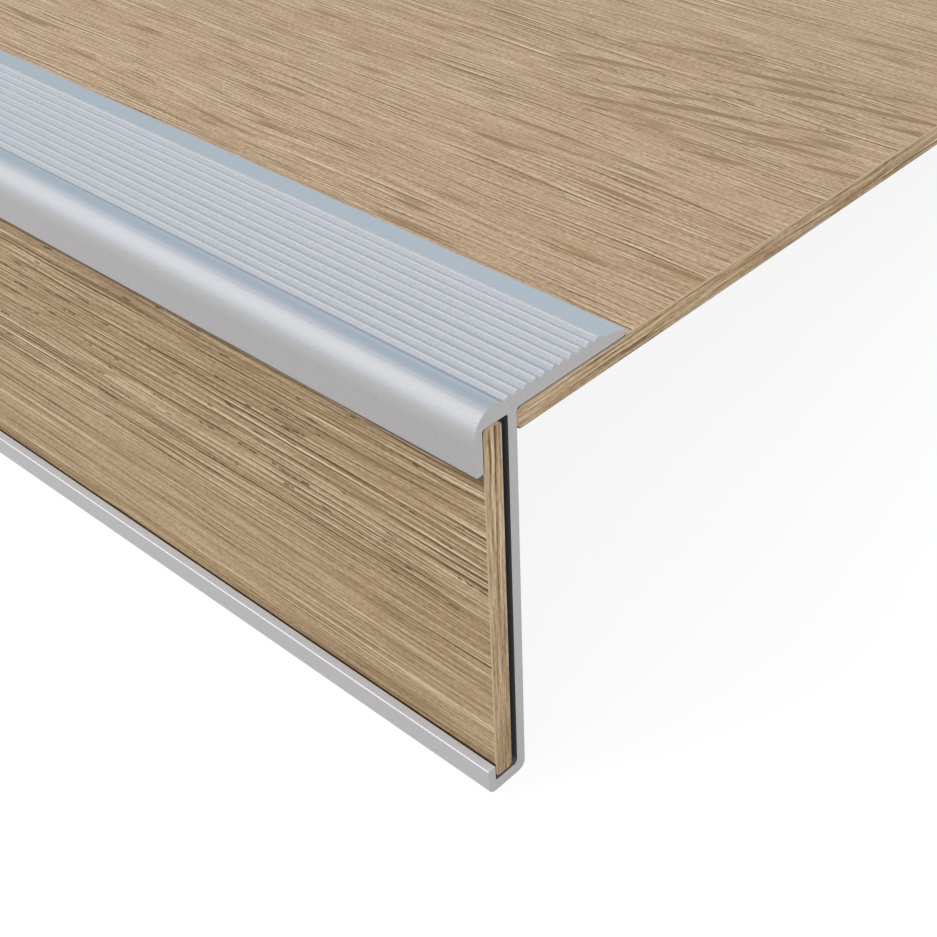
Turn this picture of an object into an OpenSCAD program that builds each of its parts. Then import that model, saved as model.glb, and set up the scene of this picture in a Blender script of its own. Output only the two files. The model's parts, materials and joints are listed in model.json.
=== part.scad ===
// Stair edge covering: an extruded aluminium nosing, an oak-look vinyl tread plank
// under its rear flange, and a fascia strip of the same plank behind its front lips.
//
// The section is drawn as it sits on a stair: its first axis runs back into the stair
// from the rear face of the web, and its second runs up from the top of the tread plank.
// The bar lies along X. It is turned back until its heel and the rear edge of the tread
// plank touch the ground, because that is how it rests on a level floor.

/* [Bar] */
// Length that the profile and both planks are cut to
bar_length = 1000; // [200:10:3000]

/* [Planks] */
// Thickness of the vinyl plank
plank_t = 5; // [4:0.25:8]
// Rounding along the long edges of both planks
plank_edge_r = 1.1; // [0.6:0.1:1.5]
// Depth of the tread plank, from its front end to its rear end
tread_depth = 300; // [120:5:600]
// Gap between the tread plank's front end and the web
tread_play = 0.2; // [0.1:0.05:0.8]
// Height of the fascia strip
fascia_height = 86.2; // [50:0.1:180]
// Gap over the fascia strip, under the nose
fascia_top_play = 0.2; // [0.1:0.05:0.8]
// Gap between the fascia strip and the channel floor
fascia_bottom_play = 0.6; // [0.1:0.05:0.8]
// Open gap between the fascia strip and the web
fascia_gap = 1.4; // [0.4:0.1:3]

/* [Nosing top] */
// Thickness of the top flange in the valleys between its ribs
flange_t = 2.85; // [2:0.05:5]
// Radius of the rounded nose
nose_r = 4.85; // [3.5:0.05:6]
// Angle that the round runs on over the top of the nose, before the first rib
nose_wrap = 32; // [5:1:34]
// Thickness of the front lip
lip_t = 1.85; // [1:0.05:3]
// Distance from the top of the tread plank down to the front lip's edge
lip_drop = 9.2; // [7:0.1:20]
// Rounding of the front lip's lower front edge
lip_edge_r = 0.3; // [0.1:0.05:0.6]
// Number of anti-slip ribs
rib_count = 11; // [3:1:16]
// Distance from one rib to the next
rib_pitch = 2.37; // [1.6:0.01:4]
// Height of a rib over the valleys
rib_h = 0.88; // [0.84:0.02:1.6]
// Run of a rib's front slope, from its foot to its crest
rib_front = 0.95; // [0.4:0.05:1.4]
// Width of the smooth margin behind the last rib
margin_w = 6.6; // [4:0.1:12]
// Thickness of the flange at its rounded rear tip
tip_t = 1.64; // [1:0.02:1.9]

/* [Nosing web and hook] */
// Thickness of the web
web_t = 2.25; // [1.2:0.05:4]
// Thickness of the channel floor under the fascia strip
floor_t = 2.9; // [2.4:0.1:5]
// Thickness of the hook's front lip
hook_t = 2.15; // [1.4:0.05:3]
// Height of the hook's front lip over the channel floor
hook_h = 4.1; // [2:0.1:10]
// Rounding of the hook's lower rear corner, the heel
heel_r = 2; // [0.5:0.1:2]
// Rounding of the hook's lower front corner, the toe
toe_r = 2.2; // [0.5:0.1:2.4]
// Rounding of the upper front edge of the hook's lip
hook_edge_r = 0.5; // [0.2:0.1:1]

/* [Nosing inner corners] */
// Fillet between the web and the flange, over the tread plank's front edge
seat_r = 0.8; // [0.3:0.1:1]
// Fillet between the channel floor and the web
channel_r = 1; // [0.3:0.1:1.2]
// Fillet in the corners beside the fascia strip's front and top edges
pocket_r = 0.5; // [0.2:0.1:0.6]

/* [Hidden] */
$fn = 64;

// Overlap that makes joined shapes one, and that carries a cut past its face
overlap = 0.1;

// Section lines across the bar, counted back from the rear face of the web
web_front = -web_t;
fascia_rear = web_front - fascia_gap;
fascia_front = fascia_rear - plank_t;
lip_front = fascia_front - lip_t;
hook_front = fascia_front - hook_t;
tread_rear = tread_play + tread_depth;

// Section heights, counted up from the top of the tread plank
top_h = flange_t + rib_h;
fascia_top = -fascia_top_play;
fascia_bottom = fascia_top - fascia_height;
channel_floor = fascia_bottom - fascia_bottom_play;
foot_h = channel_floor - floor_t;

// Round nose, ribs, and the tip that the rear margin thins to
nose_at = [lip_front + nose_r, top_h - nose_r];
ribs_start = nose_at[0] + nose_r * sin(nose_wrap);
ribs_end = ribs_start + rib_count * rib_pitch;
tip_r = tip_t / 2;
tip_at = [ribs_end + margin_w - tip_r, tip_r];
tip_top = tangent_point([ribs_end, flange_t], tip_at, tip_r);

// The two edges that the part rests on, and the angle that lays both on the floor
heel_at = [-heel_r, foot_h + heel_r];
tread_edge_at = [tread_rear - plank_edge_r, -plank_t + plank_edge_r];
rest_line = tread_edge_at - heel_at;
rest_tilt = atan2(rest_line[1], rest_line[0])
    - asin((plank_edge_r - heel_r) / norm(rest_line));

// Ends of the tilted part, which put the origin in the middle of its footprint
toe_at = [hook_front + toe_r, foot_h + toe_r];
tread_corner_at = [tread_rear - plank_edge_r, -plank_edge_r];
rest_front = tilted(toe_at)[0] - toe_r;
rest_rear = tilted(tread_corner_at)[0] + plank_edge_r;
rest_floor = tilted(heel_at)[1] - heel_r;

// Place of a section point once the part is laid back by its rest angle
function tilted(p) = [
    p[0] * cos(rest_tilt) + p[1] * sin(rest_tilt),
    p[1] * cos(rest_tilt) - p[0] * sin(rest_tilt)
];

// Point where the upper line from a point in front of a circle touches the circle
function tangent_point(from, centre, r) =
    let (
        to_point = from - centre,
        turn = atan2(to_point[1], to_point[0]) - acos(r / norm(to_point))
    )
    centre + r * [cos(turn), sin(turn)];

// Rectangle between a front, bottom, rear and top line of the section
module block(front, bottom, rear, top) {
    translate([front, bottom]) square([rear - front, top - bottom]);
}

// What lies between a square corner and the arc that rounds it. It is added to fill an
// inner corner and taken away to round an outer one. Turned by 0, the arc lies behind
// and above the corner.
module corner_web(at, turn, r) {
    translate(at) rotate(turn) difference() {
        translate([-overlap, -overlap]) square(r + overlap);
        translate([r, r]) circle(r);
    }
}

// Rectangle with all four corners rounded
module rounded_block(front, bottom, rear, top, r) {
    block(front + r, bottom, rear - r, top);
    block(front, bottom + r, rear, top - r);
    for (y = [front + r, rear - r], z = [bottom + r, top - r])
        translate([y, z]) circle(r);
}

// Rounded nose with the front lip that hangs from it
module nose_section() {
    nose_rear = ribs_start + rib_front;
    difference() {
        intersection() {
            block(lip_front, -lip_drop, nose_rear, top_h);
            union() {
                block(lip_front, -lip_drop, nose_rear, nose_at[1]);
                translate(nose_at) circle(nose_r);
            }
        }
        block(fascia_front, -lip_drop - overlap, nose_rear + overlap, 0);
        corner_web([lip_front, -lip_drop], 0, lip_edge_r);
    }
}

// Top flange: anti-slip ribs with a steep front slope and a longer rear one, and behind
// them the smooth margin that thins to a rounded tip
module flange_section() {
    front = [[nose_at[0], 0], [nose_at[0], flange_t]];
    ribs = [
        for (i = [0 : rib_count - 1], step = [[0, 0], [rib_front, rib_h]])
            [ribs_start + i * rib_pitch, flange_t] + step
    ];
    rear = [[ribs_end, flange_t], tip_top, tip_at, [tip_at[0], 0]];
    polygon(concat(front, ribs, rear));
    translate(tip_at) circle(tip_r);
}

// Web and the hook that carries the foot of the fascia strip
module web_section() {
    difference() {
        union() {
            block(web_front, foot_h, 0, overlap);
            block(hook_front, foot_h, 0, channel_floor);
            block(hook_front, foot_h, fascia_front, channel_floor + hook_h);
        }
        corner_web([0, foot_h], 90, heel_r);
        corner_web([hook_front, foot_h], 0, toe_r);
        corner_web([hook_front, channel_floor + hook_h], 270, hook_edge_r);
    }
    corner_web([web_front, channel_floor], 90, channel_r);
    corner_web([fascia_front, channel_floor], 0, pocket_r);
}

// Extrudes each section it is given along the bar, cut square at both ends, and lays
// the bar as it rests on the floor
module bar_at_rest() {
    translate([0, -(rest_front + rest_rear) / 2, -rest_floor])
        rotate([-rest_tilt, 0, 0])
            rotate([90, 0, 90])
                for (i = [0 : $children - 1])
                    linear_extrude(bar_length, center = true) children(i);
}

// Satin anodised aluminium nosing, one extrusion
module nosing_profile() {
    color("silver") bar_at_rest() {
        nose_section();
        flange_section();
        web_section();
        corner_web([fascia_front, 0], 270, pocket_r);
        corner_web([web_front, 0], 180, pocket_r);
        corner_web([0, 0], 270, seat_r);
    }
}

// Tread plank, its front end tucked under the flange against the web
module tread_plank() {
    color("burlywood") bar_at_rest()
        rounded_block(tread_play, -plank_t, tread_rear, 0, plank_edge_r);
}

// Fascia strip, standing in the hook behind both front lips
module fascia_strip() {
    color("tan") bar_at_rest()
        rounded_block(fascia_front, fascia_bottom, fascia_rear, fascia_top, plank_edge_r);
}

nosing_profile();
tread_plank();
fascia_strip();
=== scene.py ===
"""Scene of a stair edge covering: a ribbed aluminium nosing, a wood-look vinyl tread plank
under its rear flange, and a fascia strip of the same plank behind its front lips.

Sizes are in millimetres and are those of the section as it sits on a stair. Its first axis
runs back into the stair from the rear face of the web, and its second runs up from the top
of the tread plank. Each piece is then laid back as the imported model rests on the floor.
"""
import json
import logging
import math
from collections.abc import Callable
from dataclasses import dataclass, replace
from enum import Enum
from functools import partial

import bmesh
import bpy
from mathutils import Matrix, Vector


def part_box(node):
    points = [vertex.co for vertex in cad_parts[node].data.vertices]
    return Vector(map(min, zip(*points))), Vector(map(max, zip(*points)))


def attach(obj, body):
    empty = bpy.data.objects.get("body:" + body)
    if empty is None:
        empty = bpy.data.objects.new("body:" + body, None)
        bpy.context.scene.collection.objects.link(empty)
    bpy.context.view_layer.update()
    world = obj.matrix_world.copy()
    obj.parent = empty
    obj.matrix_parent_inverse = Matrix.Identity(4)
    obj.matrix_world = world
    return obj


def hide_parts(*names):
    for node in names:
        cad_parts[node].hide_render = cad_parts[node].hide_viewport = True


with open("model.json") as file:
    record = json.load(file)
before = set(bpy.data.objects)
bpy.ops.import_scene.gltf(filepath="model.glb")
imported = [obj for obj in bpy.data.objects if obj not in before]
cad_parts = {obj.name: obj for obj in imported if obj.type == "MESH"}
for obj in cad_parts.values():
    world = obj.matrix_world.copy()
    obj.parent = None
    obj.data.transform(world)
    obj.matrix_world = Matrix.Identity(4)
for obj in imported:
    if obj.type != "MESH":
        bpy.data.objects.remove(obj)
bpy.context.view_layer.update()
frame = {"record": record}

Mesh = bmesh.types.BMesh
Vertex = bmesh.types.BMVert
Material = bpy.types.Material
Node = bpy.types.Node
Socket = bpy.types.NodeSocket
Feed = Node | Socket | float
Adder = Callable[..., Node]
Drawn = tuple[Node, dict[str, Feed]]
Triple = tuple[float, float, float]
Four = tuple[float, float, float, float]

MM = 0.001
BODY = "root"
LOG = logging.getLogger("stair_tread")

# An arc is drawn with one edge for each step of this angle, and with a few at least
ARC_STEP = math.radians(6)
FEWEST_STEPS = 3
# Faces that meet at less than this angle are shaded as one smooth surface
SMOOTH_ANGLE = math.radians(38)

# Cosines of the angle to a direction, over which a face counts as facing it or leaning to it
FACING = 0.9
SQUARE_ON = 0.98
LEANING = 0.1
# Distance within which a face counts as lying on a line of the section, in millimetres
SLACK = 0.01

# Nearly all of a noise lies between these two values, about its middle
NOISE_LOW, NOISE_MIDDLE, NOISE_HIGH = 0.3, 0.5, 0.7
# Tone at which a print has its base colour. At 0 it is dark, and at 1 light
BASE_TONE = 0.5


class Slot(Enum):
    """The record's material slots."""

    ALUMINIUM = "anodised_aluminium"
    OAK = "oak_look_vinyl"


class NosingSide(Enum):
    """Faces of the nosing that are finished differently, in the order of its material slots."""

    SKIN = 0
    RIB_FRONT = 1
    HIGHLIGHT_PAINTED = 2
    HOOK_TOP = 3
    LIP = 4
    POCKET = 5


class PlankSide(Enum):
    """Sides of a plank that are finished differently, in the order of its material slots."""

    DECOR = 0
    CUT_END = 1
    BACKING = 2
    HIGHLIGHTED_EDGE = 3
    SHADE_PAINTED = 4


class Shift(float, Enum):
    """How far each part of the print moves into the noise, so that no two parts look alike."""

    LINES = 1.7
    SWAY = 3.1
    RIPPLE = 7.7
    STRENGTH = 29.3
    BANDS = 40.7
    PORE_ROWS = 51.9
    PORES = 57.1
    STREAKS = 71.9
    RISING_STREAKS = 83.1


def linear(colour: str) -> Four:
    """Turns an sRGB hex colour into the linear one that a shader takes.

    Args:
        colour: the colour as "#RRGGBB".

    Returns:
        Red, green, blue and an alpha of 1.
    """
    parts = [int(colour[i:i + 2], 16) / 255 for i in (1, 3, 5)]
    return (*[p / 12.92 if p <= 0.04045 else ((p + 0.055) / 1.055) ** 2.4 for p in parts], 1.0)


def add_node(tree: bpy.types.NodeTree, kind: str, inputs: dict | tuple = (), **settings: object) -> Node:
    """Adds a shader node with its settings, values and links.

    Args:
        tree: the node tree that it goes into.
        kind: the node's type, less the "ShaderNode" that starts it.
        inputs: what each input takes, by name or in order: a value, the socket that feeds it,
            or the node whose first output in use does. A MapRange takes the value, then the
            two ends that it has, and then those that it gets.
        settings: the node's own properties.

    Returns:
        The new node.
    """
    node = tree.nodes.new("ShaderNode" + kind)
    for name, value in settings.items():
        setattr(node, name, value)
    for key, value in inputs.items() if isinstance(inputs, dict) else enumerate(inputs):
        if isinstance(value, Node):
            value = next(socket for socket in value.outputs if socket.enabled)
        if isinstance(value, Socket):
            tree.links.new(value, node.inputs[key])
        else:
            node.inputs[key].default_value = value
    return node


def start_nodes(owner: Material | bpy.types.World) -> Adder:
    """Turns the nodes of a material or a world on, and clears them.

    Args:
        owner: the material or the world.

    Returns:
        The function above, tied to its node tree.
    """
    owner.use_nodes = True
    owner.node_tree.nodes.clear()
    return partial(add_node, owner.node_tree)


@dataclass(frozen=True)
class RestPlace:
    """How the section lies in the row frame: turned back by a tilt, with its origin moved."""

    tilt: float
    origin: Vector

    @classmethod
    def from_mount(cls, name: str, section_point: Vector) -> "RestPlace":
        """Reads the place off a flat mount that faces straight down in the section.

        Args:
            name: the mount's name in the record.
            section_point: the mount's point in the section, in millimetres.

        Returns:
            The place of the section in the row frame.
        """
        mount = next(item for item in frame["record"]["mounts"] if item["name"] == name)
        axis = Vector(mount["axis"])
        tilt = math.atan2(-axis.y, -axis.z)
        turned = Matrix.Rotation(-tilt, 3, "X") @ section_point
        return cls(tilt, Vector(mount["pos_m"]) - turned * MM)

    def lay(self, bm: Mesh) -> None:
        """Scales a mesh from millimetres to metres and lays it from the section into place.

        Args:
            bm: the mesh, in the section's millimetres.
        """
        turn = Matrix.Rotation(-self.tilt, 4, "X")
        into_row = Matrix.Translation(self.origin) @ turn @ Matrix.Scale(MM, 4)
        bmesh.ops.transform(bm, matrix=into_row, verts=bm.verts)

    def section_millimetres(self, add: Adder, turn: float) -> Node:
        """Adds nodes that give each surface point its place in the section, in millimetres.

        Args:
            add: adds a node to the material.
            turn: angle in radians that turns the section's axes on about the bar.

        Returns:
            The place.
        """
        coordinate = add("TexCoord")
        return add(
            "Mapping",
            {"Vector": coordinate.outputs["Object"], "Location": self.origin,
             "Rotation": (turn - self.tilt, 0, 0), "Scale": (MM, MM, MM)},
            vector_type="TEXTURE",
        )


@dataclass(frozen=True)
class Patch:
    """Length along the grain and width across it of one patch of noise, in millimetres."""

    length: float
    width: float


@dataclass(frozen=True, kw_only=True)
class Finish:
    """The look of a surface, with a relief whose height is in millimetres. Its pattern follows
    the section, whose axes may be turned on about the bar, and its seed moves it into the
    noise."""

    name: str
    roughness: float
    relief: float
    turn: float = 0.0
    seed: float = 0.0

    def draw(self, add: Adder, section: Node) -> Drawn:
        """Draws the pattern.

        Args:
            add: adds a node to the material.
            section: the place in the section, in millimetres.

        Returns:
            The relief, and what the surface's other inputs take, by name.
        """
        raise NotImplementedError

    def make(self, place: RestPlace) -> Material:
        """Builds the finish.

        Args:
            place: how the section lies, which the pattern follows.

        Returns:
            The material.
        """
        material = bpy.data.materials.new(self.name)
        add = start_nodes(material)
        height, looks = self.draw(add, place.section_millimetres(add, self.turn))
        bump = add("Bump", {"Height": height, "Strength": 1.0, "Distance": self.relief * MM})
        surface = add("BsdfPrincipled", {"Roughness": self.roughness, "Normal": bump, **looks})
        add("OutputMaterial", {"Surface": surface})
        return material

    def noise(
        self, add: Adder, spot: Node, patch: Patch, shift: float = 0.0, detail: float = 1.0,
    ) -> Node:
        """Adds noise stretched along the grain.

        Args:
            add: adds a node to the material.
            spot: the place along, across and out of the grain, in millimetres.
            patch: size of a patch.
            shift: how far to move into the noise.
            detail: octaves of finer noise.

        Returns:
            The noise, from 0 to 1.
        """
        moved = self.seed + shift
        scaled = add(
            "VectorMath",
            (spot, (1 / patch.length, 1 / patch.width, 1 / patch.width), (moved, moved, moved)),
            operation="MULTIPLY_ADD",
        )
        return add("TexNoise", {"Vector": scaled, "Scale": 1.0, "Detail": detail})


@dataclass(frozen=True, kw_only=True)
class AnodisedAluminium(Finish):
    """Extruded aluminium, etched and anodised natural. The etch leaves fine pits that spread
    each reflection into a soft band, and the clear oxide over it scatters light as a matt
    coat does, so it is only partly metallic. The pits are drawn some ten times too wide,
    because real ones are too fine to show. A painted shade, if there is one, darkens the
    colour between two heights of the section, in millimetres."""

    pale: str
    deep: str
    metallic: float = 0.6
    roughness: float = 0.38
    roughness_spread: float = 0.06
    relief: float = 0.009
    detail: float = 2.0
    pit: Patch = Patch(0.28, 0.28)
    die_line: Patch = Patch(160.0, 0.35)
    die_line_share: float = 0.25
    shade: str | None = None
    shade_from: float = -0.5
    shade_full: float = -3.0

    def draw(self, add: Adder, section: Node) -> Drawn:
        """Draws the pits and the faint lines that the die leaves.

        Args:
            add: adds a node to the material.
            section: the place in the section, in millimetres.

        Returns:
            The relief, and what the surface's other inputs take, by name.
        """
        pits = self.noise(add, section, self.pit, detail=self.detail)
        lines = self.noise(add, section, self.die_line, detail=self.detail)
        height = add("Math", (lines, self.die_line_share, pits), operation="MULTIPLY_ADD")
        spread = (self.roughness - self.roughness_spread, self.roughness + self.roughness_spread)
        sheen = add("MapRange", (pits, 0.0, 1.0, *spread))
        share = add("MapRange", (pits, NOISE_LOW, NOISE_HIGH))
        colour = add(
            "Mix", {"Factor": share, "A": linear(self.deep), "B": linear(self.pale)},
            data_type="RGBA",
        )
        # A painted shade darkens the colour towards the lower height
        if self.shade:
            split = add("SeparateXYZ", (section,))
            lower = add("MapRange", (split.outputs["Z"], self.shade_from, self.shade_full))
            colour = add(
                "Mix", {"Factor": lower, "A": colour, "B": linear(self.shade)},
                data_type="RGBA", blend_type="MULTIPLY",
            )
        return height, {"Base Color": colour, "Metallic": self.metallic, "Roughness": sheen}


@dataclass(frozen=True)
class GrainLines:
    """Rows of thin lines along the grain, each with a light edge beside it. A line fades in
    and out along its row, and the rarer the lines are, the fewer rows show at any place.
    Sizes are in millimetres. The two tones are shares of the print's range, and a dark tone
    below zero gives light lines."""

    spacing: float
    width: float
    length: float
    dark: float
    light: float
    rare: float


@dataclass(frozen=True)
class GrainBand(Patch):
    """Soft changes of tone, by a share of the print's range, with octaves of finer ones."""

    depth: float
    detail: float = 1.0


@dataclass(frozen=True)
class Figure:
    """A place where the grain rises in a cathedral figure: its centre and half its size along
    and across the plank, in millimetres. An endless one makes a whole stretch lively."""

    along: float
    across: float
    half_length: float
    half_width: float


@dataclass(frozen=True)
class Grain:
    """What a print is drawn from: the place along, across and out of the grain in
    millimetres, the same place bent with the grain, and how lively the print is there."""

    add: Adder
    spot: Node
    flow: Node
    lively: Feed


@dataclass(frozen=True, kw_only=True)
class OakDecor(Finish):
    """Rigid vinyl with a printed and embossed oak film under a matt coating. The eye sees fine
    dark and light lines along the plank, slow bands of tone, olive-brown streaks that rise
    in the cathedral figures, rows of short dark pores, and on the fascia a painted shadow
    under the metal's lip. All sizes are in millimetres. The grain runs along the plank,
    or on a cut end along the section."""

    dark: str
    base: str
    light: str
    streak: str
    pore: str
    lines: tuple[GrainLines, ...]
    bands: tuple[GrainBand, ...]
    sway: float
    ripple: float
    wander: float
    streak_share: float
    pore_share: float = 0.0
    pore_width: float = 0.4
    pore_spacing: float = 2.4
    figures: tuple[Figure, ...] = ()
    figure_core: float = 0.5
    calm_share: float = 1.0
    lively_painted_shade: float = 0.0
    lip_shadow_from: float | None = None
    lip_shadow_full: float = 0.0
    lip_shadow_share: float = 0.65
    along_end: bool = False
    sway_patch: Patch = Patch(80.0, 14.0)
    ripple_patch: Patch = Patch(14.0, 4.0)
    strength_patch: Patch = Patch(40.0, 6.0)
    strength_spread: float = 0.5
    streak_patch: Patch = Patch(30.0, 2.6)
    rising_patch: Patch = Patch(34.0, 2.8)
    rise: float = 0.2
    pore_patch: Patch = Patch(1.3, 0.8)
    pore_row: float = 9.0
    pore_rare: float = 0.62
    relief: float = 0.05
    roughness: float = 0.62
    specular: float = 0.2

    def draw(self, add: Adder, section: Node) -> Drawn:
        """Prints the colours one over the other, and embosses the lines and the pores.

        Args:
            add: adds a node to the material.
            section: the place in the section, in millimetres.

        Returns:
            The relief, and what the surface's other inputs take, by name.
        """
        spot = section
        if self.along_end:
            axes = add("SeparateXYZ", (section,)).outputs
            spot = add("CombineXYZ", (axes["Y"], axes["Z"], axes["X"]))
        grain = Grain(add, spot, self.flow(add, spot), self.lively(add, spot))
        tone, pores = self.tone(grain), self.pores(grain)
        darker = add("MapRange", (tone, 0.0, BASE_TONE))
        lighter = add("MapRange", (tone, BASE_TONE, 1.0))
        prints = [
            (darker, self.base), (lighter, self.light), (self.streaks(grain), self.streak),
            (pores, self.pore),
        ]
        # A painted shadow darkens the film just under the metal's lip
        if self.lip_shadow_from is not None:
            across = add("SeparateXYZ", (spot,)).outputs["Y"]
            lip_shadow = add("MapRange", (across, self.lip_shadow_from, self.lip_shadow_full, 0.0, self.lip_shadow_share))
            prints.append((lip_shadow, self.pore))
        colour = linear(self.dark)
        for share, over in prints:
            colour = add("Mix", {"Factor": share, "A": colour, "B": linear(over)}, data_type="RGBA")
        height = add("Math", (tone, pores), operation="SUBTRACT")
        return height, {"Base Color": colour, "Specular IOR Level": self.specular}

    def lively(self, add: Adder, spot: Node) -> Feed:
        """Tells where the print is lively: in its figures.

        Args:
            add: adds a node to the material.
            spot: the place along, across and out of the grain, in millimetres.

        Returns:
            1 where it is lively and 0 where it is calm.
        """
        strongest: Feed = 0.0
        for figure in self.figures:
            centre = (figure.along, figure.across, 0)
            reach = (1 / figure.half_length, 1 / figure.half_width, 0)
            away = add("VectorMath", (spot, centre), operation="SUBTRACT")
            scaled = add("VectorMath", (away, reach), operation="MULTIPLY")
            distance = add("VectorMath", (scaled,), operation="LENGTH")
            fade = add(
                "MapRange", (distance, self.figure_core, 1.0, 1.0, 0.0), interpolation_type="SMOOTHSTEP",
            )
            strongest = add("Math", (fade, strongest), operation="MAXIMUM")
        return strongest

    def flow(self, add: Adder, spot: Node) -> Node:
        """Bends the grain sideways, in slow sways and in small ripples.

        Args:
            add: adds a node to the material.
            spot: the place along, across and out of the grain, in millimetres.

        Returns:
            The bent place.
        """
        total: Feed = 0.0
        for patch, reach, shift in (
            (self.sway_patch, self.sway, Shift.SWAY), (self.ripple_patch, self.ripple, Shift.RIPPLE),
        ):
            bend = self.noise(add, spot, patch, shift)
            centred = add("Math", (bend, NOISE_MIDDLE), operation="SUBTRACT")
            # Noise stays within about a quarter of its middle, so four times that is the reach
            total = add("Math", (centred, 4 * reach, total), operation="MULTIPLY_ADD")
        offset = add("CombineXYZ", {"Y": total})
        return add("VectorMath", (spot, offset), operation="ADD")

    def rows(self, grain: Grain, spacing: float, length: float, shift: float) -> tuple[Node, Node]:
        """Splits the face into wavy rows along the grain.

        Args:
            grain: what the print is drawn from.
            spacing: mean distance from row to row, in millimetres.
            length: length over which a row changes, in millimetres.
            shift: how far to move into the noise.

        Returns:
            The place across a row, from 0 to 1, and a noise of its own for each row.
        """
        add = grain.add
        wander_patch = Patch(1.5 * length, 2.0 * spacing)
        row_step = 7.31  # takes each row to a stretch of noise that its neighbours don't share
        split = add("SeparateXYZ", (grain.flow,))
        wander = self.noise(add, grain.flow, wander_patch, shift)
        straight = add("Math", (split.outputs["Y"], 1 / spacing), operation="MULTIPLY")
        phase = add("Math", (wander, self.wander, straight), operation="MULTIPLY_ADD")
        row = add("Math", (phase,), operation="FLOOR")
        across = add("Math", (phase, row), operation="SUBTRACT")
        along = add("Math", (split.outputs["X"], 1 / length), operation="MULTIPLY")
        own = add("Math", (row, row_step, shift), operation="MULTIPLY_ADD")
        at = add("CombineXYZ", (along, own))
        vigour = add("TexNoise", {"Vector": at, "Scale": 1.0, "Detail": 1.0}, noise_dimensions="2D")
        return across, vigour

    def line_profile(self, add: Adder, lines: GrainLines, across: Node) -> Node:
        """Draws a line and its light edge across a row.

        Args:
            add: adds a node to the material.
            lines: the lines of that row.
            across: the place across the row, from 0 to 1.

        Returns:
            The line's tone, of which the base tone leaves the print as it is.
        """
        profile = add("ValToRGB", (across,))
        ramp = profile.color_ramp
        ramp.interpolation = "EASE"
        middle, core = 0.45, lines.width / lines.spacing
        ramp.elements[0].position = middle - core
        ramp.elements[1].position = middle + 2 * core
        ramp.elements[0].color = ramp.elements[1].color = (BASE_TONE, BASE_TONE, BASE_TONE, 1)
        for position, change in ((middle, -lines.dark), (middle + core, lines.light)):
            tone = BASE_TONE + change
            ramp.elements.new(position).color = (tone, tone, tone, 1)
        return profile

    def tone(self, grain: Grain) -> Node:
        """Adds up the lines and the bands about a middle tone. How strongly the lines are
        printed varies from place to place, and they may be fainter where the print is calm.
        Where the print is lively, a painted shade may darken it.

        Args:
            grain: what the print is drawn from.

        Returns:
            The tone: 0 is the dark colour, one half the base, and 1 the light.
        """
        add = grain.add
        line_shift, band_shift, fade_in = 11.3, 5.9, 0.2
        lined: Feed = 0.0
        for number, lines in enumerate(self.lines):
            shift = line_shift * number + Shift.LINES
            across, vigour = self.rows(grain, lines.spacing, lines.length, shift)
            line = self.line_profile(add, lines, across)
            centred = add("Math", (line, BASE_TONE), operation="SUBTRACT")
            shown = add("MapRange", (vigour, lines.rare, lines.rare + fade_in))
            lined = add("Math", (centred, shown, lined), operation="MULTIPLY_ADD")
        patch = self.noise(add, grain.flow, self.strength_patch, Shift.STRENGTH)
        spread = (1 - self.strength_spread, 1 + self.strength_spread)
        varied = add("MapRange", (patch, NOISE_LOW, NOISE_HIGH, *spread))
        calmed = add("MapRange", (grain.lively, 0.0, 1.0, self.calm_share, 1.0))
        strength = add("Math", (varied, calmed), operation="MULTIPLY")
        level = BASE_TONE - NOISE_MIDDLE * sum(band.depth for band in self.bands)
        total = add("Math", (lined, strength, level), operation="MULTIPLY_ADD")
        for number, band in enumerate(self.bands):
            shift = band_shift * number + Shift.BANDS
            noise = self.noise(add, grain.flow, band, shift, band.detail)
            total = add("Math", (noise, band.depth, total), operation="MULTIPLY_ADD")
        # Where the print is lively, a painted shade darkens it
        return add("Math", (grain.lively, -self.lively_painted_shade, total), operation="MULTIPLY_ADD")

    def streaks(self, grain: Grain) -> Node:
        """Draws tapering olive-brown streaks: slight along the grain, and rising in a figure.

        Args:
            grain: what the print is drawn from.

        Returns:
            The streaks' share.
        """
        add = grain.add
        lift, first, full = 0.07, 0.62, 0.72
        turned = add("Mapping", {"Vector": grain.spot, "Rotation": (0, 0, -math.atan(self.rise))})
        plain = self.noise(add, grain.flow, self.streak_patch, Shift.STREAKS)
        rising = self.noise(add, turned, self.rising_patch, Shift.RISING_STREAKS)
        noise = add("Mix", {"Factor": grain.lively, "A": plain, "B": rising}, data_type="FLOAT")
        lifted = add("Math", (grain.lively, lift, noise), operation="MULTIPLY_ADD")
        return add("MapRange", (lifted, first, full, 0.0, self.streak_share))

    def pores(self, grain: Grain) -> Node:
        """Draws rows of short dark pores, where the print is lively.

        Args:
            grain: what the print is drawn from.

        Returns:
            The pores' share.
        """
        add = grain.add
        row_middle, soft_side, fade_in = 0.5, 0.5, 0.04
        dash_first, dash_full = 0.36, 0.52
        half = self.pore_width / self.pore_spacing / 2
        across, vigour = self.rows(grain, self.pore_spacing, self.pore_row, Shift.PORE_ROWS)
        off_middle = add("Math", (across, row_middle), operation="SUBTRACT")
        aside = add("Math", (off_middle,), operation="ABSOLUTE")
        dashes = self.noise(add, grain.flow, self.pore_patch, Shift.PORES)
        share = add("Math", (grain.lively, self.pore_share), operation="MULTIPLY")
        for value, nothing, full in (
            (aside, (1 + soft_side) * half, (1 - soft_side) * half),
            (vigour, self.pore_rare, self.pore_rare + fade_in), (dashes, dash_first, dash_full),
        ):
            fade = add("MapRange", (value, nothing, full))
            share = add("Math", (fade, share), operation="MULTIPLY")
        return share


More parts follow.
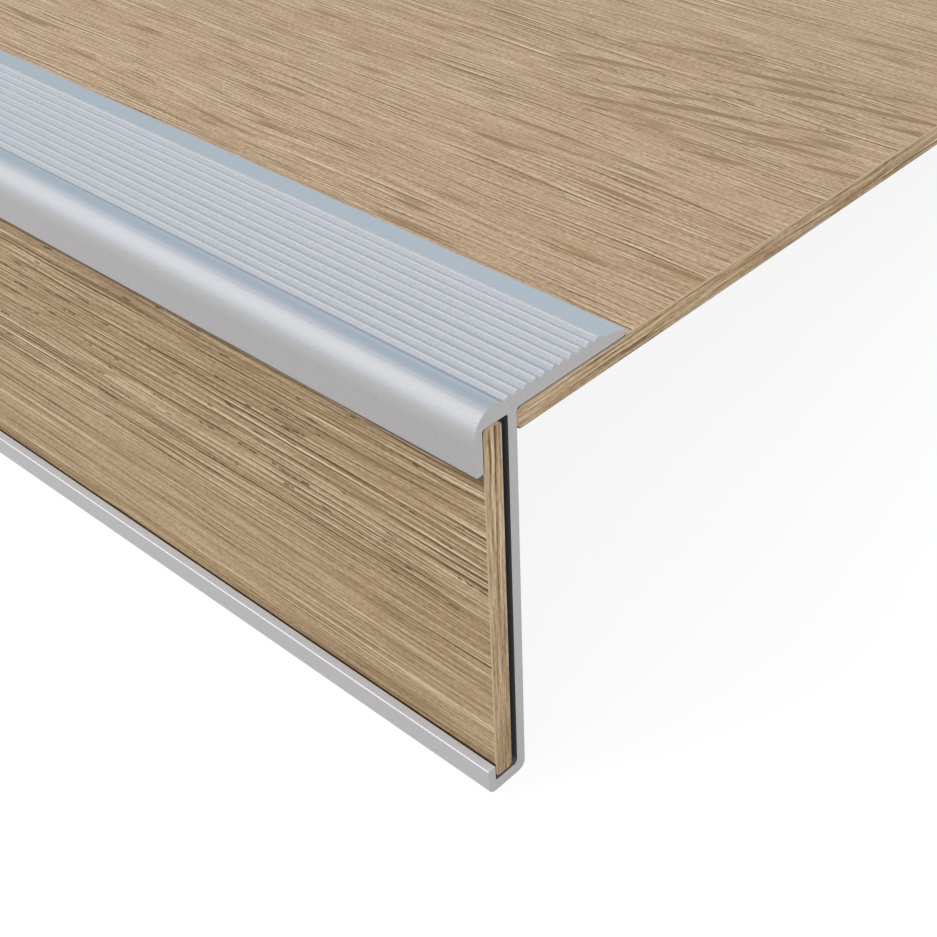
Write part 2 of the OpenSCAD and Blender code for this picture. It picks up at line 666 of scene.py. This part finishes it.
@dataclass(frozen=True, kw_only=True)
class PlainVinyl(Finish):
    """Vinyl without a print: matt, with a faint, even grain from the roller or the saw."""

    colour: str
    grain: Patch = Patch(0.6, 0.6)
    relief: float = 0.02
    detail: float = 2.0
    roughness: float = 0.7
    specular: float = 0.2

    def draw(self, add: Adder, section: Node) -> Drawn:
        """Draws the grain over one even colour.

        Args:
            add: adds a node to the material.
            section: the place in the section, in millimetres.

        Returns:
            The relief, and what the surface's other inputs take, by name.
        """
        grain = self.noise(add, section, self.grain, detail=self.detail)
        return grain, {"Base Color": linear(self.colour), "Specular IOR Level": self.specular}


# Natural satin anodising: a pale grey with a soft band of sheen along the rounded nose
SATIN_ALUMINIUM = AnodisedAluminium(name="satin_anodised_aluminium", pale="#B8B6B6", deep="#ACAAAA")
# The same metal on the ribs' front slopes, a darker copy: painted shade for the light that the ribs in
# front take away
SHADED_SLOPE_ALUMINIUM = AnodisedAluminium(name="rib_slope_painted_shade_aluminium", pale="#A8A8AA", deep="#98989A")
# The same metal, a paler copy: painted light on the ribs' rear slopes, and a painted
# highlight on the upper part of the hook's rounded edge
HIGHLIGHT_ALUMINIUM = AnodisedAluminium(name="painted_highlight_aluminium", pale="#DCDBDC", deep="#CCCBCC")
# The hook's top, a lighter and nearly non-metallic copy of the metal: painted light that stands
# for the light falling on it from above
LIT_HOOK_TOP_ALUMINIUM = AnodisedAluminium(
    name="hook_top_painted_light_aluminium", pale="#DADBDE", deep="#CACBCE", metallic=0.1, roughness=0.5,
)
# The same metal on the front lip, with a painted shade that darkens it downwards, for the
# reflections that dim there
LIP_ALUMINIUM = replace(SATIN_ALUMINIUM, name="satin_anodised_aluminium_lip", shade="#F0EFF0")
# The pocket's wall behind the fascia strip, a dark copy of the metal: painted shade, so that the
# gap looks deep
SHADED_POCKET_ALUMINIUM = AnodisedAluminium(name="pocket_painted_shade_aluminium", pale="#8E8E91", deep="#7E7E81")

# Film on the tread: an even, calm oak of fine lines, with a few cathedral figures
TREAD_FILM = OakDecor(
    name="printed_oak_vinyl_tread", dark="#755838", base="#B99C7E", light="#E4D1B4",
    streak="#90744E", pore="#5A4831",
    lines=(
        GrainLines(1.9, 0.34, 38.0, dark=0.34, light=0.2, rare=0.42),
        GrainLines(1.1, 0.28, 26.0, dark=0.26, light=0.2, rare=0.38),
        GrainLines(3.1, 0.32, 18.0, dark=-0.26, light=0.0, rare=0.52),
    ),
    bands=(
        GrainBand(140.0, 18.0, 0.14), GrainBand(34.0, 1.5, 0.26),
        GrainBand(20.0, 0.45, 0.6), GrainBand(6.0, 0.32, 0.45),
        GrainBand(1.2, 0.35, 0.5, detail=0.0),
    ),
    figures=(
        Figure(462.0, 120.0, 80.0, 46.0), Figure(-40.0, 205.0, 150.0, 60.0),
        Figure(-330.0, 85.0, 120.0, 50.0),
    ),
    sway=0.9, ripple=0.12, wander=1.2, streak_share=0.75, pore_share=0.75,
)
# Film on the fascia: the same oak, with coarser lines and long pores in its upper part, a painted
# shade over that part, and a painted shadow just under the metal's lip
FASCIA_FILM = OakDecor(
    name="printed_oak_vinyl_fascia", dark="#634A28", base="#AE9371", light="#DDCCAE",
    streak="#8E7450", pore="#43311C",
    lines=(
        GrainLines(1.7, 0.42, 60.0, dark=0.32, light=0.26, rare=0.32),
        GrainLines(1.0, 0.32, 40.0, dark=0.24, light=0.2, rare=0.34),
        GrainLines(2.9, 0.45, 34.0, dark=-0.26, light=0.0, rare=0.44),
    ),
    bands=(
        GrainBand(220.0, 15.0, 0.2), GrainBand(70.0, 2.0, 0.6),
        GrainBand(36.0, 0.6, 0.75), GrainBand(10.0, 0.35, 0.4),
        GrainBand(1.2, 0.35, 0.4, detail=0.0),
    ),
    figures=(Figure(0.0, -16.0, math.inf, 48.0),),
    turn=math.radians(90), seed=23.0, sway=0.8, ripple=0.1, wander=0.9, calm_share=0.5,
    lively_painted_shade=0.07, streak_share=0.45, pore_share=0.85, pore_width=0.5, pore_spacing=3.1,
    lip_shadow_from=-12.5, lip_shadow_full=-11.8,
)
# Films on the cut ends, which are wrapped as the faces are. Their grain runs along the section.
# Their colours are lighter than the face films': painted light for the light that the lamp
# does not give the cut ends
TREAD_END_FILM = OakDecor(
    name="printed_oak_vinyl_tread_end", dark="#6E5232", base="#BE9F7B", light="#EAD8B6",
    streak="#8A6E48", pore="#5C4A30",
    lines=(
        GrainLines(1.2, 0.35, 20.0, dark=0.34, light=0.32, rare=0.42),
        GrainLines(1.7, 0.4, 16.0, dark=-0.34, light=0.0, rare=0.44),
    ),
    bands=(
        GrainBand(40.0, 2.0, 0.4), GrainBand(20.0, 0.8, 0.85),
        GrainBand(7.0, 0.38, 0.7), GrainBand(1.6, 0.32, 0.5, detail=0.0),
    ),
    along_end=True, seed=5.0, sway=0.7, ripple=0.2, wander=1.2, streak_share=0.6,
)
FASCIA_END_FILM = replace(
    TREAD_END_FILM, name="printed_oak_vinyl_fascia_end", seed=31.0, turn=math.radians(90),
)
# Grey backing foil on the underside, which is guessed, because the photo hides it
VINYL_BACKING = PlainVinyl(name="grey_vinyl_backing", colour="#9A958D")
# A pale colour on the film's eased edges: a painted highlight, which draws a light line round
# a cut end
VINYL_EDGE_HIGHLIGHT = PlainVinyl(name="painted_highlight_vinyl_edge", colour="#CDB597")
# A dark colour on the covered film, on eased edges beside the metal and on the fascia's back:
# painted shade, which reads as the dark line of a seam
VINYL_PAINTED_SHADE = PlainVinyl(name="painted_shade_vinyl", colour="#4A3B2B")


@dataclass(frozen=True)
class Corner:
    """A corner of a section, where two straight sides would meet, and the radius that rounds it."""

    y: float
    z: float
    radius: float = 0.0

    @property
    def place(self) -> Vector:
        """The corner in the plane of the section."""
        return Vector((0, self.y, self.z))

    def draw(self, bm: Mesh, before: "Corner", after: "Corner") -> tuple[Vertex, Vertex]:
        """Draws the corner: a point, or the arc that touches both its sides.

        Args:
            bm: the mesh that the section is drawn in.
            before: the corner before it.
            after: the corner after it.

        Returns:
            The first and the last vertex of the corner.
        """
        into = (self.place - before.place).normalized()
        out = (after.place - self.place).normalized()
        turn = math.atan2(into.cross(out).x, into.dot(out))
        start = self.place - into * self.radius * math.tan(abs(turn) / 2)
        first = bm.verts.new(start)
        if not self.radius:
            return first, first
        across = Vector((math.copysign(1, turn), 0, 0)).cross(into)
        arc = bmesh.ops.spin(
            bm, geom=[first], cent=start + across * self.radius, axis=(1, 0, 0), angle=turn,
            steps=max(FEWEST_STEPS, math.ceil(abs(turn) / ARC_STEP)), use_duplicate=False,
        )
        last = next(item for item in arc["geom_last"] if isinstance(item, Vertex))
        return first, last


@dataclass(kw_only=True)
class Bar:
    """A straight bar of one section, cut square at both ends and eased there. Its finishes are
    in the order of its sides, and its faces are cut across one direction, to be finished apart."""

    name: str
    node: str
    slot: Slot
    place: RestPlace
    finishes: tuple[Finish, ...]
    across: Triple = (0.0, 0.0, 1.0)
    end_ease: float = 0.12

    def corners(self) -> list[Corner]:
        """The section's corners, in order."""
        raise NotImplementedError

    def cuts(self) -> tuple[float, ...]:
        """The lines along which the faces are cut."""
        raise NotImplementedError

    def side(self, at: Vector, towards: Vector) -> Enum:
        """Tells which side of the bar a face belongs to.

        Args:
            at: the face's centre, in the section's millimetres.
            towards: its normal.

        Returns:
            The side.
        """
        raise NotImplementedError

    def draw_section(self, bm: Mesh) -> None:
        """Draws the section's outline and fills it.

        Args:
            bm: the empty mesh that it is drawn in.
        """
        corners = self.corners()
        neighbours = zip(corners[-1:] + corners, corners, corners[1:] + corners[:1])
        ends = [corner.draw(bm, before, after) for before, corner, after in neighbours]
        for (_, last), (first, _) in zip(ends, ends[1:] + ends[:1]):
            bm.edges.new((last, first))
        bmesh.ops.edgeloop_fill(bm, edges=bm.edges)

    def extrude(self, bm: Mesh) -> None:
        """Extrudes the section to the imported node's length, with the origin in the middle.

        Args:
            bm: the mesh with the section.
        """
        low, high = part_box(self.node)
        length = (high.x - low.x) / MM
        bmesh.ops.translate(bm, vec=(-length / 2, 0, 0), verts=bm.verts)
        extruded = bmesh.ops.extrude_face_region(bm, geom=bm.faces[:], use_keep_orig=True)["geom"]
        far_end = [item for item in extruded if isinstance(item, Vertex)]
        bmesh.ops.translate(bm, vec=(length, 0, 0), verts=far_end)
        bmesh.ops.recalc_face_normals(bm, faces=bm.faces)

    def ease_ends(self, bm: Mesh) -> None:
        """Takes the sharp edge off both cut ends. The guard against overlaps shrinks this to
        nothing on the nosing, whose section has edges of no length where two arcs meet.

        Args:
            bm: the mesh of the bar.
        """
        ends = [face for face in bm.faces if abs(face.normal.x) > FACING]
        rims = [edge for end in ends for edge in end.edges]
        bmesh.ops.bevel(
            bm, geom=rims, offset=self.end_ease, offset_type="OFFSET", segments=3, profile=0.5,
            affect="EDGES", clamp_overlap=True, material=-1,
        )

    def dress(self, bm: Mesh) -> None:
        """Gives each face its material slot, and shades it smooth.

        Args:
            bm: the mesh of the bar, in the section's millimetres.
        """
        across = Vector(self.across)
        for line in self.cuts():
            parts = bm.verts[:] + bm.edges[:] + bm.faces[:]
            bmesh.ops.bisect_plane(bm, geom=parts, plane_co=across * line, plane_no=across)
        for face in bm.faces:
            face.smooth = True
            face.material_index = self.side(face.calc_center_median(), face.normal).value

    def build(self) -> bpy.types.Object:
        """Models the bar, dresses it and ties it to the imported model.

        Returns:
            The finished piece.
        """
        bm = bmesh.new()
        self.draw_section(bm)
        self.extrude(bm)
        self.ease_ends(bm)
        self.dress(bm)
        self.place.lay(bm)
        mesh = bpy.data.meshes.new(self.name)
        bm.to_mesh(mesh)
        bm.free()
        mesh.set_sharp_from_angle(angle=SMOOTH_ANGLE)
        for finish in self.finishes:
            mesh.materials.append(finish.make(self.place))
        piece = bpy.data.objects.new(self.name, mesh)
        bpy.context.scene.collection.objects.link(piece)
        piece.modifiers.new("even_shading", "WEIGHTED_NORMAL").keep_sharp = True
        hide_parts(self.node)
        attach(piece, BODY)
        LOG.info("%s: %d faces, stands for %s", self.name, len(mesh.polygons), self.node)
        return piece


@dataclass(kw_only=True)
class NosingProfile(Bar):
    """The aluminium extrusion: ribbed flange, rounded nose with its lip, web, and hook."""

    name: str = "aluminium_nosing"
    node: str = "nosing_profile"
    slot: Slot = Slot.ALUMINIUM
    finishes: tuple[Finish, ...] = (
        SATIN_ALUMINIUM, SHADED_SLOPE_ALUMINIUM, HIGHLIGHT_ALUMINIUM, LIT_HOOK_TOP_ALUMINIUM, LIP_ALUMINIUM,
        SHADED_POCKET_ALUMINIUM,
    )
    plank_t: float = 5.0
    fascia_gap: float = 1.4
    channel_depth: float = 87.0
    flange_t: float = 2.85
    nose_r: float = 4.85
    nose_wrap: float = math.radians(32)
    lip_t: float = 1.85
    lip_drop: float = 9.2
    rib_count: int = 11
    rib_pitch: float = 2.37
    rib_h: float = 0.88
    rib_front: float = 0.95
    margin_w: float = 6.6
    tip_t: float = 1.64
    web_t: float = 2.25
    floor_t: float = 2.9
    hook_t: float = 2.15
    hook_h: float = 4.1
    heel_r: float = 2.0
    toe_r: float = 2.2
    hook_edge_r: float = 0.5
    seat_r: float = 0.8
    channel_r: float = 1.0
    pocket_r: float = 0.5
    rib_edge_r: float = 0.15
    rib_root_r: float = 0.08
    lip_edge_r: float = 0.3
    unshaded_crest: float = 0.2
    hook_highlight_from: float = 0.55
    hook_highlight_to: float = 0.85

    def __post_init__(self) -> None:
        """Works out the section's lines from its sizes: those across the bar from front to rear,
        and the heights of the flange's top, of the crests' foot and of the hook's top."""
        self.fascia_rear = -self.web_t - self.fascia_gap
        self.fascia_front = self.fascia_rear - self.plank_t
        self.lip_front = self.fascia_front - self.lip_t
        self.hook_front = self.fascia_front - self.hook_t
        self.nose_y = self.lip_front + self.nose_r
        self.ribs_start = self.nose_y + self.nose_r * math.sin(self.nose_wrap)
        self.ribs_end = self.ribs_start + self.rib_count * self.rib_pitch
        self.flange_rear = self.ribs_end + self.margin_w
        self.top = self.flange_t + self.rib_h
        self.crest_foot = self.top - self.unshaded_crest
        self.hook_top = self.hook_h - self.channel_depth

    def cuts(self) -> tuple[float]:
        """The foot of the ribs' crests, above which the front slopes get no painted shade."""
        return (self.crest_foot,)

    def side(self, at: Vector, towards: Vector) -> NosingSide:
        """Tells the front lip, the pocket's wall, the ribs' slopes, the top of the hook and its
        rounded edge from the rest of the metal, as these get painted shade or painted light.

        Args:
            at: the face's centre, in the section's millimetres.
            towards: its normal.

        Returns:
            The side of the nosing that the face belongs to.
        """
        side = NosingSide.SKIN
        if abs(towards.x) > LEANING:
            return side
        if towards.y < -FACING and -self.channel_depth < at.z < 0:
            # The web's face in the pocket gets painted shade
            if abs(at.y + self.web_t) < SLACK:
                side = NosingSide.POCKET
            # The front lip gets a painted shade that darkens it downwards
            elif at.y < self.fascia_front and at.z > -self.lip_drop:
                side = NosingSide.LIP
        elif self.ribs_start < at.y < self.ribs_end and at.z > self.flange_t:
            front_slope = -self.rib_h / math.hypot(self.rib_h, self.rib_front)
            rear_slope = self.rib_h / math.hypot(self.rib_h, self.rib_pitch - self.rib_front)
            # Front slopes below the crest get a painted shade
            if towards.y < front_slope + SLACK and at.z < self.crest_foot:
                side = NosingSide.RIB_FRONT
            # Rear slopes get painted light
            elif towards.y > rear_slope - SLACK:
                side = NosingSide.HIGHLIGHT_PAINTED
        # The hook's top gets painted light
        elif towards.z > SQUARE_ON and abs(at.z - self.hook_top) < SLACK:
            side = NosingSide.HOOK_TOP
        # The upper part of the hook's rounded edge gets a painted highlight
        elif at.y < self.hook_front + self.hook_edge_r and self.hook_highlight_from < towards.z < self.hook_highlight_to:
            if self.hook_top - self.hook_edge_r < at.z < self.hook_top:
                side = NosingSide.HIGHLIGHT_PAINTED
        return side

    def nose(self) -> list[Corner]:
        """The front lip and the round over it, up to the valley before the first rib."""
        climb = self.rib_h / self.rib_front
        arc_end_z = self.top - self.nose_r * (1 - math.cos(self.nose_wrap))
        valley = (arc_end_z - self.flange_t) / (climb + math.tan(self.nose_wrap))
        return [
            Corner(self.lip_front, -self.lip_drop, self.lip_edge_r),
            Corner(self.lip_front, self.top, self.nose_r),
            Corner(self.nose_y + self.nose_r * math.tan(self.nose_wrap / 2), self.top, self.nose_r),
            Corner(self.ribs_start + valley, self.flange_t + climb * valley, self.rib_root_r),
        ]

    def ribs(self) -> list[Corner]:
        """Crests and valleys of the anti-slip ribs, from the first crest to the last valley."""
        teeth = []
        for number in range(self.rib_count):
            foot = self.ribs_start + number * self.rib_pitch
            teeth.append(Corner(foot + self.rib_front, self.top, self.rib_edge_r))
            teeth.append(Corner(foot + self.rib_pitch, self.flange_t, self.rib_root_r))
        return teeth

    def rear_tip(self) -> list[Corner]:
        """The tip that the smooth margin thins to."""
        tip_r = self.tip_t / 2
        reach, rise = self.margin_w - tip_r, self.flange_t - tip_r
        slope = math.atan2(rise, reach) - math.asin(tip_r / math.hypot(reach, rise))
        return [
            Corner(self.flange_rear, self.flange_t - self.margin_w * math.tan(slope), tip_r),
            Corner(self.flange_rear, 0, tip_r),
        ]

    def web_and_hook(self) -> list[Corner]:
        """The underside, from the tread plank's seat down the web and round the hook and pocket."""
        foot = -self.channel_depth - self.floor_t
        inner_edge_r = self.lip_edge_r / 2
        return [
            Corner(0, 0, self.seat_r),
            Corner(0, foot, self.heel_r),
            Corner(self.hook_front, foot, self.toe_r),
            Corner(self.hook_front, self.hook_top, self.hook_edge_r),
            Corner(self.fascia_front, self.hook_top, inner_edge_r),
            Corner(self.fascia_front, -self.channel_depth, self.pocket_r),
            Corner(-self.web_t, -self.channel_depth, self.channel_r),
            Corner(-self.web_t, 0, self.pocket_r),
            Corner(self.fascia_front, 0, self.pocket_r),
            Corner(self.fascia_front, -self.lip_drop, inner_edge_r),
        ]

    def corners(self) -> list[Corner]:
        """The section, from the front lip over the top and round the hook."""
        return self.nose() + self.ribs() + self.rear_tip() + self.web_and_hook()


@dataclass(kw_only=True)
class Plank(Bar):
    """A length of vinyl plank with a film on its face and ends and a plain back. Its face shows
    between its cuts. In a seam, its eased edge gets a painted highlight only within a range of
    cosines of the angle to its back."""

    slot: Slot = Slot.OAK
    end_ease: float = 0.26
    nosing: NosingProfile
    back: Triple
    pale_in_seam: tuple[float, float]
    edge_r: float = 1.1

    def outline(self) -> Four:
        """Front, bottom, rear and top line of the plank in the section."""
        raise NotImplementedError

    def corners(self) -> list[Corner]:
        """A rectangle with its long edges rounded."""
        front, bottom, rear, top = self.outline()
        places = ((front, bottom), (front, top), (rear, top), (rear, bottom))
        return [Corner(y, z, self.edge_r) for y, z in places]

    def side(self, at: Vector, towards: Vector) -> PlankSide:
        """Tells the cut ends, their eased edges and the back from the face. An eased edge gets a
        painted highlight where the face shows beside it, and in a seam within a range of angles to
        the back. Elsewhere it gets painted shade, as the covered stretches of the face do.

        Args:
            at: the face's centre, in the section's millimetres.
            towards: its normal.

        Returns:
            The side of the plank that the face belongs to.
        """
        first, last = self.cuts()
        shows = first < at.dot(Vector(self.across)) < last
        towards_back = towards.dot(Vector(self.back))
        if abs(towards.x) > SQUARE_ON:
            return PlankSide.CUT_END
        # Eased edges get a painted highlight or painted shade
        if abs(towards.x) > LEANING:
            low, high = (-math.inf, -LEANING) if shows else self.pale_in_seam
            return PlankSide.HIGHLIGHTED_EDGE if low < towards_back < high else PlankSide.SHADE_PAINTED
        if towards_back > FACING:
            return PlankSide.BACKING
        # Covered stretches of the face get painted shade
        return PlankSide.DECOR if shows else PlankSide.SHADE_PAINTED


@dataclass(kw_only=True)
class TreadPlank(Plank):
    """The plank on the step, its front end tucked under the nosing's flange."""

    name: str = "oak_tread_plank"
    node: str = "tread_plank"
    finishes: tuple[Finish, ...] = (
        TREAD_FILM, TREAD_END_FILM, VINYL_BACKING, VINYL_EDGE_HIGHLIGHT, VINYL_PAINTED_SHADE,
    )
    across: Triple = (0.0, 1.0, 0.0)
    back: Triple = (0.0, 0.0, -1.0)
    pale_in_seam: tuple[float, float] = (-0.5, LEANING)
    depth: float = 300.0
    play: float = 0.2
    seam: float = 0.12

    def outline(self) -> Four:
        """The plank, a thin seam lower than the flange, so that a dark line shows there."""
        return self.play, -self.nosing.plank_t, self.play + self.depth, -self.seam

    def cuts(self) -> tuple[float, float]:
        """The face shows from the flange's tip to past the rear edge."""
        return self.nosing.flange_rear, self.play + self.depth + self.edge_r


@dataclass(kw_only=True)
class FasciaStrip(Plank):
    """The strip that stands in the nosing's hook behind both front lips."""

    name: str = "oak_fascia_strip"
    node: str = "fascia_strip"
    # The strip's back gets painted shade too, so that the gap behind it looks dark
    finishes: tuple[Finish, ...] = (
        FASCIA_FILM, FASCIA_END_FILM, VINYL_PAINTED_SHADE, VINYL_EDGE_HIGHLIGHT, VINYL_PAINTED_SHADE,
    )
    back: Triple = (0.0, 1.0, 0.0)
    pale_in_seam: tuple[float, float] = (-0.8, LEANING)
    top_play: float = 0.25
    bottom_play: float = 0.6
    seam: float = 0.27
    contact: float = 0.2

    def outline(self) -> Four:
        """The strip, a seam behind the lips, so that a dark line shows there."""
        nosing = self.nosing
        front = nosing.fascia_front + self.seam
        return front, self.bottom_play - nosing.channel_depth, nosing.fascia_rear, -self.top_play

    def cuts(self) -> tuple[float, float]:
        """The face shows from the hook's lip up to the front lip, less a line of painted shade by each."""
        return self.nosing.hook_top + self.contact, -self.nosing.lip_drop - self.contact


@dataclass(frozen=True)
class Studio:
    """Pale floor, soft sky, one large soft lamp, and the camera at the photo's viewing angle.

    The camera's place and axes were worked out from the photo's three sets of parallel edges.
    Gloss sees a sky of its own, whose tones follow the angle to its brightest point. It is
    tinted on the left, which is what the camera sees mirrored, and nearly grey on the right."""

    camera_at: Triple = (650.06, -241.15, 283.83)
    camera_right: Triple = (0.72913, 0.64757, -0.22141)
    camera_up: Triple = (-0.39794, 0.66438, 0.63265)
    lens: float = 61.669
    sensor_width: float = 36.0
    clip_start: float = 0.01
    ambient: float = 0.72
    sky_strength: float = 2.15
    sky_towards: Triple = (-0.557, -0.438, 0.706)
    sky: tuple[tuple[float, str], ...] = (
        (0.0, "#A8CDE3"), (0.3, "#86A6BC"), (0.55, "#97ADBF"),
        (0.75, "#BCC8D7"), (0.9, "#E5ECF3"), (1.0, "#EFF3F9"),
    )
    tinted_left_of: float = -0.2
    grey_right_of: float = 0.6
    tint_left_over: float = 0.25
    lamp_towards: Triple = (-0.43, -0.338, 0.837)
    lamp_distance: float = 2.6
    lamp_size: float = 1.6
    lamp_power: float = 31.0
    floor_size: float = 40.0
    floor_drop: float = 0.1
    floor_colour: str = "#E6E6E6"
    floor_shaded: str = "#767676"
    floor_glow: float = 0.88

    def build(self) -> None:
        """Makes the floor, the light and the camera."""
        self.build_floor()
        self.build_world()
        self.build_lamp()
        self.build_camera()

    def build_floor(self) -> None:
        """Lays the floor just under the object, which it lights as pale grey. Seen by the
        camera, in gloss or through glass, most of its white is its own, so that its shadow is
        faint."""
        material = bpy.data.materials.new("pale_studio_floor")
        add = start_nodes(material)
        path = add("LightPath")
        seen: Feed = 0.0
        for ray in ("Is Camera Ray", "Is Glossy Ray", "Is Transmission Ray"):
            seen = add("Math", (path.outputs[ray], seen), operation="MAXIMUM")
        matt = add("BsdfDiffuse", {"Color": linear(self.floor_colour)})
        shaded = add("BsdfDiffuse", {"Color": linear(self.floor_shaded)})
        glow = add("Emission", {"Strength": self.floor_glow})
        white = add("AddShader", (shaded, glow))
        mixed = add("MixShader", (seen, matt, white))
        add("OutputMaterial", {"Surface": mixed})
        bm = bmesh.new()
        bmesh.ops.create_grid(bm, x_segments=1, y_segments=1, size=self.floor_size / 2)
        bmesh.ops.translate(bm, vec=(0, 0, -self.floor_drop * MM), verts=bm.verts)
        mesh = bpy.data.meshes.new("floor")
        bm.to_mesh(mesh)
        bm.free()
        mesh.materials.append(material)
        floor = bpy.data.objects.new("floor", mesh)
        bpy.context.scene.collection.objects.link(floor)

    def build_world(self) -> None:
        """Neutral ambient light, a white backdrop, and for gloss a sky that cools and dims."""
        world = bpy.data.worlds.new("soft_studio_sky")
        bpy.context.scene.world = world
        add = start_nodes(world)
        direction = add("TexCoord").outputs["Object"]
        brightest = Vector(self.sky_towards).normalized()
        facing = add("VectorMath", (direction, brightest), operation="DOT_PRODUCT")
        sky = add("ValToRGB", (facing,))
        ramp = sky.color_ramp
        ramp.interpolation = "EASE"
        ramp.elements.remove(ramp.elements[1])
        ramp.elements[0].color = linear(self.sky[0][1])
        for height, colour in self.sky[1:]:
            ramp.elements.new(height).color = linear(colour)
        rightwards = add("SeparateXYZ", (direction,)).outputs["X"]
        fading = (self.tinted_left_of, self.grey_right_of, 1.0, self.tint_left_over)
        tint = add("MapRange", (rightwards, *fading))
        grey = add("RGBToBW", (sky,))
        tinted = add("Mix", {"Factor": tint, "A": grey, "B": sky}, data_type="RGBA")
        white = linear("#FFFFFF")
        ambient = add("Background", {"Color": white, "Strength": self.ambient})
        backdrop = add("Background", {"Color": white, "Strength": 1.0})
        reflected = add("Background", {"Color": tinted, "Strength": self.sky_strength})
        path = add("LightPath")
        lit = add("MixShader", (path.outputs["Is Diffuse Ray"], backdrop, ambient))
        mixed = add("MixShader", (path.outputs["Is Glossy Ray"], lit, reflected))
        add("OutputWorld", {"Surface": mixed})

    def build_lamp(self) -> None:
        """Hangs one large soft lamp up at the front and left."""
        light = bpy.data.lights.new("softbox", "AREA")
        light.shape = "SQUARE"
        light.size = self.lamp_size
        light.energy = self.lamp_power
        lamp = bpy.data.objects.new("softbox", light)
        towards = Vector(self.lamp_towards).normalized()
        lamp.location = towards * self.lamp_distance
        lamp.rotation_mode = "QUATERNION"
        lamp.rotation_quaternion = towards.to_track_quat("Z", "Y")
        lamp.visible_camera = lamp.visible_glossy = False
        bpy.context.scene.collection.objects.link(lamp)

    def build_camera(self) -> None:
        """Sets up the camera, placed by the photo's own perspective."""
        data = bpy.data.cameras.new("photo_camera")
        data.lens = self.lens
        data.sensor_width = self.sensor_width
        data.clip_start = self.clip_start
        camera = bpy.data.objects.new("photo_camera", data)
        right, up = Vector(self.camera_right), Vector(self.camera_up)
        turn = Matrix((right, up, right.cross(up))).transposed()
        camera.matrix_world = Matrix.Translation(Vector(self.camera_at) * MM) @ turn.to_4x4()
        bpy.context.scene.collection.objects.link(camera)
        bpy.context.scene.camera = camera


def main() -> None:
    """Builds the three pieces and the studio round them."""
    logging.basicConfig(level=logging.INFO)
    mount_behind_web = 150.0
    mount = Vector((0, mount_behind_web, -NosingProfile.plank_t))
    place = RestPlace.from_mount("tread_underside", mount)
    nosing = NosingProfile(place=place)
    for piece in (nosing, TreadPlank(place=place, nosing=nosing), FasciaStrip(place=place, nosing=nosing)):
        piece.build()
    Studio().build()
    bpy.context.scene.view_settings.view_transform = "Standard"


if __name__ == "__main__":
    main()
